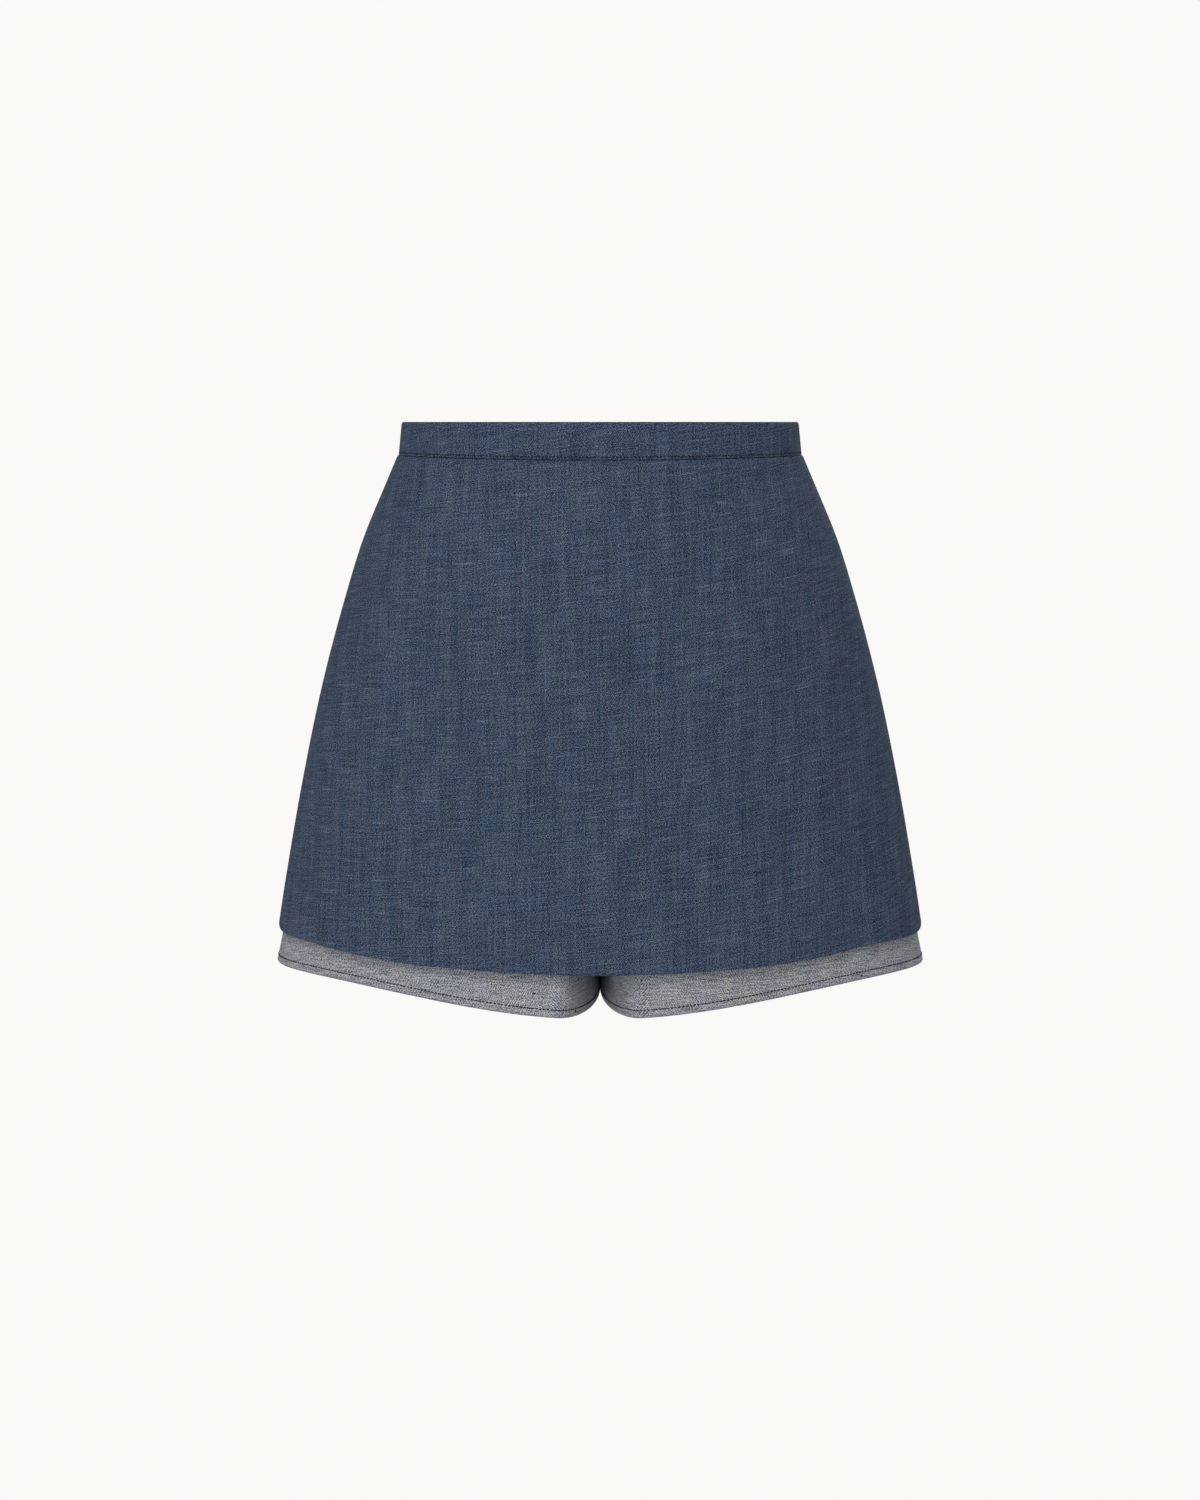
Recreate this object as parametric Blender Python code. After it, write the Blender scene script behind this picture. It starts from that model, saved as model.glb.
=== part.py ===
"""Denim skort: fitted shorts with turned-up cuffs under an A-line front apron.

It is modelled filled out, as on a general figure, and hollow. The top plane of the waistband is
z = 0 with the waist's centre at the origin, the front faces -Y and the wearer's left is +X.
Each cut piece is a wall of cloth of its own, and the pieces stand a seam gap apart.
"""

import math

import bmesh
import bpy
import numpy as np
from mathutils import Vector

# Cloth thicknesses and the gap that is left where two pieces are sewn together.
SEAM_GAP = 0.0003
LAYER_GAP = 0.0004
DENIM_THICKNESS = 0.0012
BAND_THICKNESS = 0.0024
CUFF_THICKNESS = 0.0013

# Waistband: height at the sides, and how far its lower edge dips at the centre front.
BAND_HEIGHT = 0.0208
BAND_DIP = 0.0020
BAND_ROUNDING = 0.0008

# Levels where the centre seams start to turn under, and the crotch itself.
FRONT_CURVE_START = -0.215
BACK_CURVE_START = -0.190
CROTCH_LEVEL = -0.284

# The inner thigh rounds off over this width from the centre plane, in front and behind.
FRONT_THIGH_ROUNDING = 0.024
BACK_THIGH_ROUNDING = 0.032
# Half the space between the legs where the cuffs meet, and how far below the crotch that is.
LEG_SPACE = 0.0020
LEG_SPACE_DROP = 0.0220

# Lower edge of the cuffs: its level on the outer side, and how much lower it is at the inner leg.
HEM_OUTER = -0.3341
HEM_DROP = 0.0198
HEM_POWER = 1.9
CUFF_HEIGHT = 0.0420
# Room between the leg's raw edge and the fold of the cuff under it.
FOLD_ROOM = 0.0010

# Hem of the apron: its level at the sides, its dip at the centre and its corners, which are
# round as seen from the front. The outermost columns stand closer, to carry the corners.
APRON_HEM_SIDE = -0.3125
APRON_HEM_DIP = 0.0140
APRON_CORNER = 0.0050
CORNER_COLUMN = math.radians(3.0)
# The apron's sides roll in over this width, to end at the side seams of the shorts. They roll
# in less over the cuffs, and change to that over a drop above the cuffs' tops.
SIDE_ROLL_WIDTH = 0.0100
SIDE_ROLL_POWER = 2.2
ROLL_CHANGE_DROP = 0.0250
ROLL_CHANGE_END = 0.0030

# Outer faces of the body of the garment, a row for each level.
# level, half width, front depth
APRON_ROWS = [
    (-0.0208, 0.1249, 0.0946),
    (-0.0400, 0.1331, 0.0980),
    (-0.0700, 0.1456, 0.1020),
    (-0.1100, 0.1582, 0.1065),
    (-0.1600, 0.1716, 0.1110),
    (-0.2200, 0.1844, 0.1155),
    (-0.2800, 0.1951, 0.1198),
    (-0.3520, 0.2060, 0.1245),
]
# level, half width, front depth, back depth
SHORTS_ROWS = [
    (-0.0208, 0.1230, 0.0929, 0.0935),
    (-0.0400, 0.1311, 0.0962, 0.0990),
    (-0.0700, 0.1434, 0.0998, 0.1068),
    (-0.1100, 0.1559, 0.1036, 0.1150),
    (-0.1600, 0.1690, 0.1068, 0.1216),
    (-0.2200, 0.1810, 0.1094, 0.1236),
    (-0.2800, 0.1896, 0.1118, 0.1205),
    (-0.3130, 0.1950, 0.1133, 0.1178),
    (-0.3560, 0.2043, 0.1150, 0.1148),
]
# level, half width, front depth, back depth
BAND_ROWS = [
    (-0.0230, 0.1243, 0.0940, 0.0947),
    (0.0000, 0.1221, 0.0920, 0.0920),
]

# Columns and rows of the cloth walls' faces. The cuff's rows are shares of its height.
HALF_COLUMNS = 15
APRON_FACE_ROWS = 14
STRAIGHT_ROWS = 8
CURVE_ROWS = 6
CUFF_ROWS = (1.0, 0.67, 0.33)
SECTION_STEPS = 240
TURN_WEIGHT = 0.4
CENTRE_PULL = 1.5
NORMAL_STEP = 0.01
# Edges that turn more than this show as edges, and a waistband's are rounded.
SHARP_ANGLE = math.radians(50)

# Concealed zip at the centre back: a slider with a loop, and the pull tab that hangs in the loop.
SLIDER_WIDTH = 0.0046
SLIDER_HEIGHT = 0.0095
SLIDER_DEPTH = 0.0018
SLIDER_MIDDLE = -0.0078
SLIDER_TILT = math.radians(6.7)
LOOP_WIDTH = 0.0014
LOOP_INNER_RADIUS = 0.0011
LOOP_OUTER_RADIUS = 0.0020
PULL_TILT = math.radians(9.0)
PULL_BAR = 0.0011
PULL_TOP_WIDTH = 0.0044
PULL_WIDTH = 0.0064
PULL_LENGTH = 0.0210
PULL_THICKNESS = 0.0011
PULL_WINDOW_WIDTH = 0.0024
PULL_WINDOW_END = 0.0027


def material(name, colour, roughness, metallic=0.0):
    """A plain finish of one colour."""
    made = bpy.data.materials.new(name)
    made.use_nodes = True
    shader = made.node_tree.nodes["Principled BSDF"]
    shader.inputs["Base Color"].default_value = (*colour, 1.0)
    shader.inputs["Roughness"].default_value = roughness
    shader.inputs["Metallic"].default_value = metallic
    return made


def smooth_value(rows, column, level):
    """A column of a table at any level, on a smooth curve through its rows."""
    levels = np.array([row[0] for row in rows])
    values = np.array([row[column] for row in rows])
    order = np.argsort(levels)
    levels, values = levels[order], values[order]
    slopes = np.gradient(values, levels)
    at = np.clip(level, levels[0], levels[-1])
    low = np.clip(np.searchsorted(levels, at) - 1, 0, len(levels) - 2)
    step = levels[low + 1] - levels[low]
    t = (at - levels[low]) / step
    start = (1 + 2 * t) * (1 - t) ** 2 * values[low] + t * (1 - t) ** 2 * step * slopes[low]
    end = t * t * (3 - 2 * t) * values[low + 1] - t * t * (1 - t) * step * slopes[low + 1]
    return start + end


def curve_share(level, front):
    """How far down the turn of the centre seam a level is: 0 where it starts, 1 at the crotch."""
    start = FRONT_CURVE_START if front else BACK_CURVE_START
    return min(max((start - level) / (start - CROTCH_LEVEL), 0.0), 1.0)


def leg_space(level):
    """Distance of the inner leg, or of the centre seam, from the centre plane."""
    t = min(max((CROTCH_LEVEL - level) / LEG_SPACE_DROP, 0.0), 1.0)
    return SEAM_GAP / 2 + math.sin(t * math.pi / 2) * (LEG_SPACE - SEAM_GAP / 2)


def half_section(level, front, share):
    """Point (x, depth) of one side's outer face, from the side seam (0) to the centre or inseam (1).

    The points slide from even angles over the seat, where the cloth lies under the apron's own
    points, to a spread round the leg that is closer where the inner thigh turns.
    """
    half_width = smooth_value(SHORTS_ROWS, 1, level)
    deepest = smooth_value(SHORTS_ROWS, 2 if front else 3, level)
    turned = curve_share(level, front)
    parted = 1.0 - math.sqrt(1.0 - turned**2)
    rounding = FRONT_THIGH_ROUNDING if front else BACK_THIGH_ROUNDING
    inner = leg_space(level)
    spread = np.linspace(1.0, 0.0, SECTION_STEPS) ** 2
    angle = spread * math.pi / 2
    x = inner + (half_width - inner) * np.sin(angle)
    inward = np.clip((rounding - x + inner) / rounding, 0.0, 1.0)
    depth = deepest * np.cos(angle) * (1.0 - parted * (1.0 - np.sqrt(1.0 - inward**2)))
    length = np.cumsum(np.hypot(np.diff(x), np.diff(depth)))
    heading = np.unwrap(np.arctan2(np.diff(depth), np.diff(x)))
    turning = np.cumsum(np.abs(np.diff(heading)))
    leg = (1.0 - TURN_WEIGHT) * np.concatenate([[0.0], length / length[-1]])
    leg += TURN_WEIGHT * np.concatenate([[0.0, 0.0], turning / turning[-1]])
    slide = turned * turned * (3.0 - 2.0 * turned)
    along = (1.0 - slide) * (1.0 - spread) + slide * leg
    return float(np.interp(share, along, x)), float(np.interp(share, along, depth)) + SEAM_GAP / 2


def hem_level(front, share):
    """Level of the cuff's lower edge at one of the leg's columns."""
    x = half_section(HEM_OUTER, front, share)[0]
    half_width = smooth_value(SHORTS_ROWS, 1, HEM_OUTER)
    return HEM_OUTER - HEM_DROP * math.cos(math.pi / 2 * x / half_width) ** HEM_POWER


def leg_edge(front, share):
    """Level of the leg's raw edge, which stands on the fold of the cuff."""
    return hem_level(front, share) + CUFF_THICKNESS + FOLD_ROOM


def panel_levels(front, share):
    """Levels of a column's points: even down the side, and closer at the centre's turn."""
    top = band_level(math.pi / 2 * (1.0 - share), front) - SEAM_GAP
    start = FRONT_CURVE_START if front else BACK_CURVE_START
    edge = leg_edge(front, share)
    cuff_top = edge + CUFF_HEIGHT
    centre = [top + (start - top) * i / STRAIGHT_ROWS for i in range(STRAIGHT_ROWS)]
    for i in range(CURVE_ROWS + 1):
        centre.append(start + (CROTCH_LEVEL - start) * math.sin(math.pi / 2 * i / CURVE_ROWS))
    levels = []
    for i, level in enumerate(centre):
        even = top + (cuff_top - top) * i / len(centre)
        levels.append(even + (level - even) * share**CENTRE_PULL)
    return levels + [edge + CUFF_HEIGHT * row for row in (*CUFF_ROWS, 0.0)]


def wall(name, loops, finish, wraps=False):
    """A wall of cloth through closed sections, each a loop of points down its outer face and back
    up its inner one. The sections run towards +X in front and towards -X behind."""
    mesh = bpy.data.meshes.new(name)
    cloth = bmesh.new()
    sections = [[cloth.verts.new(point) for point in loop] for loop in loops]
    count = len(loops[0])
    for left, right in zip(sections, sections[1:] + (sections[:1] if wraps else [])):
        for i in range(count):
            below = (i + 1) % count
            cloth.faces.new((left[i], left[below], right[below], right[i]))
    if not wraps:
        for i in range(count // 2 - 1):
            inner, lower = count - 1 - i, count - 2 - i
            first, last = sections[0], sections[-1]
            cloth.faces.new((first[i], first[inner], first[lower], first[i + 1]))
            cloth.faces.new((last[i], last[i + 1], last[lower], last[inner]))
    cloth.to_mesh(mesh)
    cloth.free()
    mesh.shade_smooth()
    mesh.set_sharp_from_angle(angle=SHARP_ANGLE)
    piece = bpy.data.objects.new(name, mesh)
    bpy.context.scene.collection.objects.link(piece)
    piece.data.materials.append(finish)
    return piece


def split_faces(piece):
    """Four-sided faces split across their shorter diagonal, so both sides come out alike."""
    split = piece.modifiers.new("shorter diagonals", "TRIANGULATE")
    split.quad_method = "SHORTEST_DIAGONAL"


def oval_point(rows, column, level, angle, out=0.0):
    """A point on an oval level section at an angle from the centre line, or moved out from it."""
    half_width = smooth_value(rows, 1, level)
    depth = smooth_value(rows, column, level)
    across, deep = half_width * math.sin(angle), depth * math.cos(angle)
    normal = Vector((math.sin(angle) / half_width, math.cos(angle) / depth)).normalized()
    return across + normal.x * out, deep + normal.y * out + SEAM_GAP / 2


def band_level(angle, front):
    """Level of the waistband's lower edge at an angle from the centre line."""
    return -BAND_HEIGHT - (BAND_DIP * math.cos(angle) ** 2 if front else 0.0)


def waistband(name, start, end, front, columns, finish):
    """A stretch of waistband between two angles, counted from the centre line towards +X."""
    loops = []
    column, towards = (2, -1) if front else (3, 1)
    for i in range(columns + 1):
        angle = start + (end - start) * i / columns
        rows = [(0.0, 0.0), (band_level(angle, front), 0.0)]
        rows += [(level, -BAND_THICKNESS) for level, _ in reversed(rows)]
        points = [(*oval_point(BAND_ROWS, column, level, angle, out), level) for level, out in rows]
        loops.append([(x, towards * y, z) for x, y, z in points])
    band = wall(name, loops, finish)
    round_edges(band, BAND_ROUNDING)
    split_faces(band)


def apron_hem(angle):
    """Level of the apron's hem at an angle from the centre line."""
    corner = APRON_CORNER / smooth_value(APRON_ROWS, 1, APRON_HEM_SIDE)
    into = min(max((abs(math.sin(angle)) - 1.0 + corner) / corner, 0.0), 1.0)
    dip = APRON_HEM_DIP * math.cos(angle) ** 2
    return APRON_HEM_SIDE - dip + APRON_CORNER * (1.0 - math.sqrt(1.0 - into**2))


def side_roll(level, angle):
    """How far the apron's cloth is rolled in at a point, towards the side seam of the shorts."""
    away = (math.pi / 2 - abs(angle)) * smooth_value(APRON_ROWS, 2, level)
    share = max(1.0 - away / SIDE_ROLL_WIDTH, 0.0) ** SIDE_ROLL_POWER
    room = smooth_value(APRON_ROWS, 1, level) - smooth_value(SHORTS_ROWS, 1, level)
    change_end = leg_edge(True, 0.0) + CUFF_HEIGHT + ROLL_CHANGE_END
    over_cuff = min(max((change_end - level) / ROLL_CHANGE_DROP + 1.0, 0.0), 1.0)
    room -= DENIM_THICKNESS + SEAM_GAP + (LAYER_GAP + CUFF_THICKNESS) * over_cuff
    return room * share


def apron(name, finish):
    """The front apron, from side seam to side seam, with a curved hem and rounded corners."""
    steps = 2 * HALF_COLUMNS
    angles = [math.pi * (i / steps - 0.5) for i in range(steps + 1)]
    first, last = angles[0] + CORNER_COLUMN, angles[-1] - CORNER_COLUMN
    angles = [angles[0], first, *angles[1:-1], last, angles[-1]]
    loops = []
    for angle in angles:
        top, hem = band_level(angle, True) - SEAM_GAP, apron_hem(angle)
        levels = [top + (hem - top) * j / APRON_FACE_ROWS for j in range(APRON_FACE_ROWS + 1)]
        rows = [(level, -side_roll(level, angle)) for level in levels]
        rows += [(level, out - DENIM_THICKNESS) for level, out in reversed(rows)]
        points = [(*oval_point(APRON_ROWS, 2, level, angle, out), level) for level, out in rows]
        loops.append([(x, -y, z) for x, y, z in points])
    split_faces(wall(name, loops, finish))


def section_point(level, front, share, out=0.0):
    """A point of the leg's outer face, or a distance out from it on the level."""
    x, depth = half_section(level, front, share)
    if out:
        before = half_section(level, front, max(share - NORMAL_STEP, 0.0))
        after = half_section(level, front, min(share + NORMAL_STEP, 1.0))
        along = Vector((after[0] - before[0], after[1] - before[1])).normalized()
        x += along.y * out
        depth -= along.x * out
    return x, -depth if front else depth, level


def shorts_panel(name, side, front, finish):
    """A front or back of the shorts, from side seam to centre seam, and down the leg to inseam."""
    loops = []
    for i in range(HALF_COLUMNS + 1):
        share = i / HALF_COLUMNS
        rows = panel_levels(front, share)
        points = [section_point(level, front, share) for level in rows]
        points += [section_point(level, front, share, -DENIM_THICKNESS) for level in reversed(rows)]
        loops.append([(side * x, y, z) for x, y, z in points])
    if (side > 0) == front:
        loops.reverse()
    split_faces(wall(name, loops, finish))


def cuff_profile():
    """Loop of the cuff's section: rise above the leg's raw edge, and distance out from the leg."""
    out = LAYER_GAP + CUFF_THICKNESS
    inside = -DENIM_THICKNESS - LAYER_GAP - CUFF_THICKNESS
    middle, radius = (out + inside) / 2, (out - inside) / 2
    upright = [CUFF_HEIGHT * row for row in CUFF_ROWS]
    bends = [(radius, turn) for turn in (90, 45, 0, -45, -90)]
    bends += [(radius - CUFF_THICKNESS, turn) for turn in (-90, -45, 0, 45, 90)]
    loop = [(rise, out) for rise in upright]
    for size, turn in bends:
        sine, cosine = math.sin(math.radians(turn)), math.cos(math.radians(turn))
        loop.append((radius - FOLD_ROOM - CUFF_THICKNESS - size * cosine, middle + size * sine))
    return loop + [(rise, out - CUFF_THICKNESS) for rise in reversed(upright)]


def cuff(name, side, finish):
    """A turned-up cuff: a ring round the leg that folds under the leg's raw edge."""
    stops = [(True, i / HALF_COLUMNS) for i in range(HALF_COLUMNS + 1)]
    stops += [(False, i / HALF_COLUMNS) for i in range(HALF_COLUMNS - 1, 0, -1)]
    loops = []
    for front, share in stops:
        edge = leg_edge(front, share)
        points = [section_point(edge + rise, front, share, out) for rise, out in cuff_profile()]
        loops.append([(side * x, y, z) for x, y, z in points])
    if side > 0:
        loops.reverse()
    split_faces(wall(name, loops, finish, wraps=True))


def plate(name, outline, thickness, finish):
    """A flat plate: an outline of (across, along) points in the XZ plane, thickened along Y."""
    mesh = bpy.data.meshes.new(name)
    shape = bmesh.new()
    face = shape.faces.new([shape.verts.new((x, -thickness / 2, z)) for x, z in outline])
    raised = bmesh.ops.extrude_face_region(shape, geom=[face])["geom"]
    moved = [item for item in raised if isinstance(item, bmesh.types.BMVert)]
    bmesh.ops.translate(shape, vec=(0.0, thickness, 0.0), verts=moved)
    bmesh.ops.recalc_face_normals(shape, faces=shape.faces)
    shape.to_mesh(mesh)
    shape.free()
    piece = bpy.data.objects.new(name, mesh)
    bpy.context.scene.collection.objects.link(piece)
    piece.data.materials.append(finish)
    return piece


def join_with(piece, tool, operation):
    """Cut a tool out of a piece, or fuse it on, and leave the tool as a hidden guide."""
    tool.hide_render = True
    tool.display_type = "WIRE"
    step = piece.modifiers.new(tool.name, "BOOLEAN")
    step.operation = operation
    step.object = tool
    step.solver = "EXACT"


def round_edges(piece, width):
    """Rounded edges on a piece."""
    rounded = piece.modifiers.new("rounded edges", "BEVEL")
    rounded.width = width
    rounded.segments = 2
    rounded.limit_method = "ANGLE"
    rounded.angle_limit = SHARP_ANGLE


def rectangle(width, low, high):
    """Outline of an upright rectangle about the centre line."""
    return [(-width / 2, low), (width / 2, low), (width / 2, high), (-width / 2, high)]


def arc(radius, start, end, steps):
    """Points (across, along) of an arc about the origin, angles in degrees from +across."""
    turns = [math.radians(start + (end - start) * i / steps) for i in range(steps + 1)]
    return [(radius * math.cos(turn), radius * math.sin(turn)) for turn in turns]


def zip_at_back(finish):
    """The slider at the top of the centre back seam, and its pull tab on the hinge's own line."""
    seat = smooth_value(BAND_ROWS, 3, SLIDER_MIDDLE) + SEAM_GAP
    slider = plate(
        "zip_slider",
        rectangle(SLIDER_WIDTH, -SLIDER_HEIGHT / 2, SLIDER_HEIGHT / 2),
        SLIDER_DEPTH,
        finish,
    )
    # The loop is drawn as a U on its side, whose open end runs into the slider's body.
    foot = -LOOP_INNER_RADIUS - SLIDER_DEPTH / 2
    outline = [(foot, -LOOP_OUTER_RADIUS), *arc(LOOP_OUTER_RADIUS, -90, 90, 8)]
    outline += [(foot, LOOP_OUTER_RADIUS), (foot, LOOP_INNER_RADIUS)]
    outline += [*arc(LOOP_INNER_RADIUS, 90, -90, 8), (foot, -LOOP_INNER_RADIUS)]
    loop = plate("slider_loop", outline, LOOP_WIDTH, finish)
    bar_depth = SLIDER_DEPTH / 2 + LOOP_INNER_RADIUS
    loop.parent = slider
    loop.location = (0.0, bar_depth, 0.0)
    loop.rotation_euler = (0.0, 0.0, math.pi / 2)
    slider.location = (0.0, seat + SLIDER_DEPTH / 2, SLIDER_MIDDLE)
    slider.rotation_euler = (SLIDER_TILT, 0.0, 0.0)
    join_with(slider, loop, "UNION")

    half, end = PULL_WIDTH / 2, PULL_LENGTH - PULL_WIDTH / 2
    top = PULL_BAR / 2
    outline = [(PULL_TOP_WIDTH / 2, top), (-PULL_TOP_WIDTH / 2, top)]
    outline += [(-PULL_TOP_WIDTH / 2, -PULL_WINDOW_END)]
    outline += [(x, z - end) for x, z in arc(half, -180, 0, 12)]
    outline += [(PULL_TOP_WIDTH / 2, -PULL_WINDOW_END)]
    pull = plate("zip_pull", outline, PULL_THICKNESS, finish)
    window = plate(
        "pull_window",
        rectangle(PULL_WINDOW_WIDTH, -PULL_WINDOW_END, -top),
        3 * PULL_THICKNESS,
        finish,
    )
    window.parent = pull
    join_with(pull, window, "DIFFERENCE")
    turned = slider.rotation_euler.to_matrix() @ Vector((0.0, bar_depth, 0.0))
    pull.location = slider.location + turned
    pull.rotation_euler = (PULL_TILT, 0.0, 0.0)


for old in list(bpy.data.objects):
    bpy.data.objects.remove(old)

denim = material("denim", (0.047, 0.070, 0.108), 0.85)
reverse_denim = material("reverse denim", (0.24, 0.24, 0.26), 0.9)

waistband("waistband_front", -math.pi / 2, math.pi / 2, True, 2 * HALF_COLUMNS, denim)
apron("apron", denim)

seam_angle = math.asin(SEAM_GAP / 2 / smooth_value(BAND_ROWS, 1, 0.0))
for side, word in ((1, "left"), (-1, "right")):
    ends = (math.pi / 2, seam_angle) if side > 0 else (-seam_angle, -math.pi / 2)
    waistband(f"waistband_back_{word}", *ends, False, HALF_COLUMNS, denim)
    shorts_panel(f"shorts_front_{word}", side, True, denim)
    shorts_panel(f"shorts_back_{word}", side, False, denim)
    cuff(f"cuff_{word}", side, reverse_denim)
zip_at_back(material("dark metal", (0.05, 0.055, 0.07), 0.4, 1.0))
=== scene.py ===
import math

import bpy
import numpy as np
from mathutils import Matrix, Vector


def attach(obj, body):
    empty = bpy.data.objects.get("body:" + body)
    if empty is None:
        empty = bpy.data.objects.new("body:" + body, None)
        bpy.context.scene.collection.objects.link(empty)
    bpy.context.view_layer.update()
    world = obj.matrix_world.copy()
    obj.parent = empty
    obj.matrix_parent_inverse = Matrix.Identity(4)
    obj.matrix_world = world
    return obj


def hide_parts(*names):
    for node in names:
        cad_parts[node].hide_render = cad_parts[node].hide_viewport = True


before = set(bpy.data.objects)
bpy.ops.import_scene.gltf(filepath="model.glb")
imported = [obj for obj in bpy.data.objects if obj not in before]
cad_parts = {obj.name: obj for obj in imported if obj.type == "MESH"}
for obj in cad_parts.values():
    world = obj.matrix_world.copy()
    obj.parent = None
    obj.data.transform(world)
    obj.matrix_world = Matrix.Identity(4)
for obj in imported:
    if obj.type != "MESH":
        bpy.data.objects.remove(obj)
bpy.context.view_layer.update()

# ---------------------------------------------------------------------------------------------
# Apron. One A-line front panel of indigo denim over the shorts, cut on the straight grain.
# Its top and sides are caught in the waist and side seams; its curved hem is turned in clean,
# so a strip of the right side shows behind the hem and no stitch shows in front.
# ---------------------------------------------------------------------------------------------
# The frame's solids stand apart at a seam; the sewn cloth meets there and overlaps this much.
SEAM_OVERLAP = 0.0002
DENIM_THICKNESS = 0.0012
CUFF_THICKNESS = 0.0013
# Layers that lie on each other without a seam are this far apart.
LAYER_GAP = 0.0004
# The waist seam lies this far below the top edge, and dips in the middle of the front.
BAND_HEIGHT = 0.0208
BAND_DIP = 0.0020
APRON_HEM_SIDE = -0.3125
APRON_HEM_DIP = 0.0140
APRON_CORNER = 0.0050
APRON_COLUMNS = 150
APRON_LINES = 90
HEM_TURN = 0.0120
# Angles and shares round the garment become lengths along the cloth on this radius.
GIRTH_RADIUS = 0.1150
# The hem hangs a little unevenly: angle from the centre and width in degrees, and rise.
HEM_LIFTS = [(53.0, 13.0, 0.0021), (-34.0, 9.0, -0.0005), (-62.0, 6.0, 0.0008)]
# The cloth's edges are rounded over this width, and the mesh's columns and lines stand at these
# distances from an edge: a raw one, one in a seam, and the apron's sides, where its corners are.
EDGE_ROUNDING = 0.0006
EDGE_STEPS = (0.0, 0.00002, 0.0001, 0.0003, 0.0006)
SEAM_STEPS = (*EDGE_STEPS, 0.0009, 0.0013, 0.0018, 0.0025, 0.0035)
CORNER_STEPS = (*EDGE_STEPS, 0.0012, 0.0019, 0.0028, 0.0038, 0.0050)
# How far a sewn edge bends in towards its seam, and over what width.
SEAM_TUCK = 0.0012
SEAM_TUCK_WIDTH = 0.0013
# The apron's creases fade out over this drop below the waist seam.
APRON_MARKS_FADE = 0.0104
# The apron's sides roll in over this width, to the side seams of the shorts, and less so over
# the cuffs: that change runs over a drop above the cuffs' tops.
SIDE_ROLL_WIDTH = 0.0100
SIDE_ROLL_POWER = 2.2
ROLL_CHANGE_DROP = 0.0250
ROLL_CHANGE_END = -0.2868
# The apron's form from the waist seam down: level, half width, front depth.
APRON_ROWS = [
    (-0.0208, 0.1249, 0.0946),
    (-0.0400, 0.1331, 0.0980),
    (-0.0700, 0.1456, 0.1020),
    (-0.1100, 0.1582, 0.1065),
    (-0.1600, 0.1716, 0.1110),
    (-0.2200, 0.1844, 0.1155),
    (-0.2800, 0.1951, 0.1198),
    (-0.3520, 0.2060, 0.1245),
]
# The form of the shorts that it lies on: level, half width, front depth, back depth.
SHORTS_ROWS = [
    (-0.0208, 0.1230, 0.0929, 0.0935),
    (-0.0400, 0.1311, 0.0962, 0.0990),
    (-0.0700, 0.1434, 0.0998, 0.1068),
    (-0.1100, 0.1559, 0.1036, 0.1150),
    (-0.1600, 0.1690, 0.1068, 0.1216),
    (-0.2200, 0.1810, 0.1094, 0.1236),
    (-0.2800, 0.1896, 0.1118, 0.1205),
    (-0.3130, 0.1950, 0.1133, 0.1178),
    (-0.3560, 0.2043, 0.1150, 0.1148),
]
# Soft creases, troughs and ridges, given one by one: from across, level, to across, level, width,
# height.
APRON_MARKS = [
    (0.131, -0.026, 0.062, -0.055, 0.0090, -0.0024),
    (0.118, -0.047, 0.088, -0.062, 0.0080, 0.0012),
    (-0.122, -0.026, -0.120, -0.052, 0.0035, -0.0014),
    (-0.112, -0.028, -0.108, -0.060, 0.0050, 0.0009),
    (0.054, -0.072, 0.056, -0.122, 0.0070, -0.0014),
    (-0.036, -0.212, -0.033, -0.258, 0.0090, -0.0021),
    (-0.049, -0.196, -0.047, -0.214, 0.0080, -0.0016),
    (0.003, -0.204, 0.012, -0.212, 0.0100, -0.0015),
    (0.124, -0.238, 0.116, -0.266, 0.0130, -0.0024),
    (0.150, -0.200, 0.128, -0.236, 0.0100, 0.0015),
    (0.172, -0.150, 0.160, -0.196, 0.0140, -0.0016),
    (-0.182, -0.140, -0.192, -0.226, 0.0090, 0.0014),
    (-0.197, -0.230, -0.205, -0.280, 0.0100, -0.0014),
    (-0.058, -0.166, -0.018, -0.160, 0.0060, 0.0009),
    (0.022, -0.152, 0.060, -0.140, 0.0080, -0.0012),
    (-0.118, -0.084, -0.126, -0.140, 0.0080, -0.0011),
    (-0.130, -0.206, -0.124, -0.228, 0.0100, -0.0013),
    (-0.062, -0.112, -0.064, -0.136, 0.0070, 0.0009),
    (0.092, -0.268, 0.098, -0.318, 0.0110, 0.0013),
    (0.048, -0.256, 0.050, -0.320, 0.0100, -0.0011),
    (-0.090, -0.270, -0.096, -0.318, 0.0120, -0.0013),
    (-0.140, -0.262, -0.150, -0.312, 0.0120, 0.0013),
    (0.158, -0.262, 0.166, -0.308, 0.0110, -0.0013),
    (-0.010, -0.270, -0.012, -0.322, 0.0120, 0.0011),
]


def smooth_value(rows, column, level):
    """A column of a table at any level, on a smooth curve through its rows."""
    levels = np.array([row[0] for row in rows])
    values = np.array([row[column] for row in rows])
    order = np.argsort(levels)
    levels, values = levels[order], values[order]
    slopes = np.gradient(values, levels)
    at = np.clip(level, levels[0], levels[-1])
    low = np.clip(np.searchsorted(levels, at) - 1, 0, len(levels) - 2)
    step = levels[low + 1] - levels[low]
    t = (at - levels[low]) / step
    start = (1 + 2 * t) * (1 - t) ** 2 * values[low] + t * (1 - t) ** 2 * step * slopes[low]
    end = t * t * (3 - 2 * t) * values[low + 1] - t * t * (1 - t) * step * slopes[low + 1]
    return start + end


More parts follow.
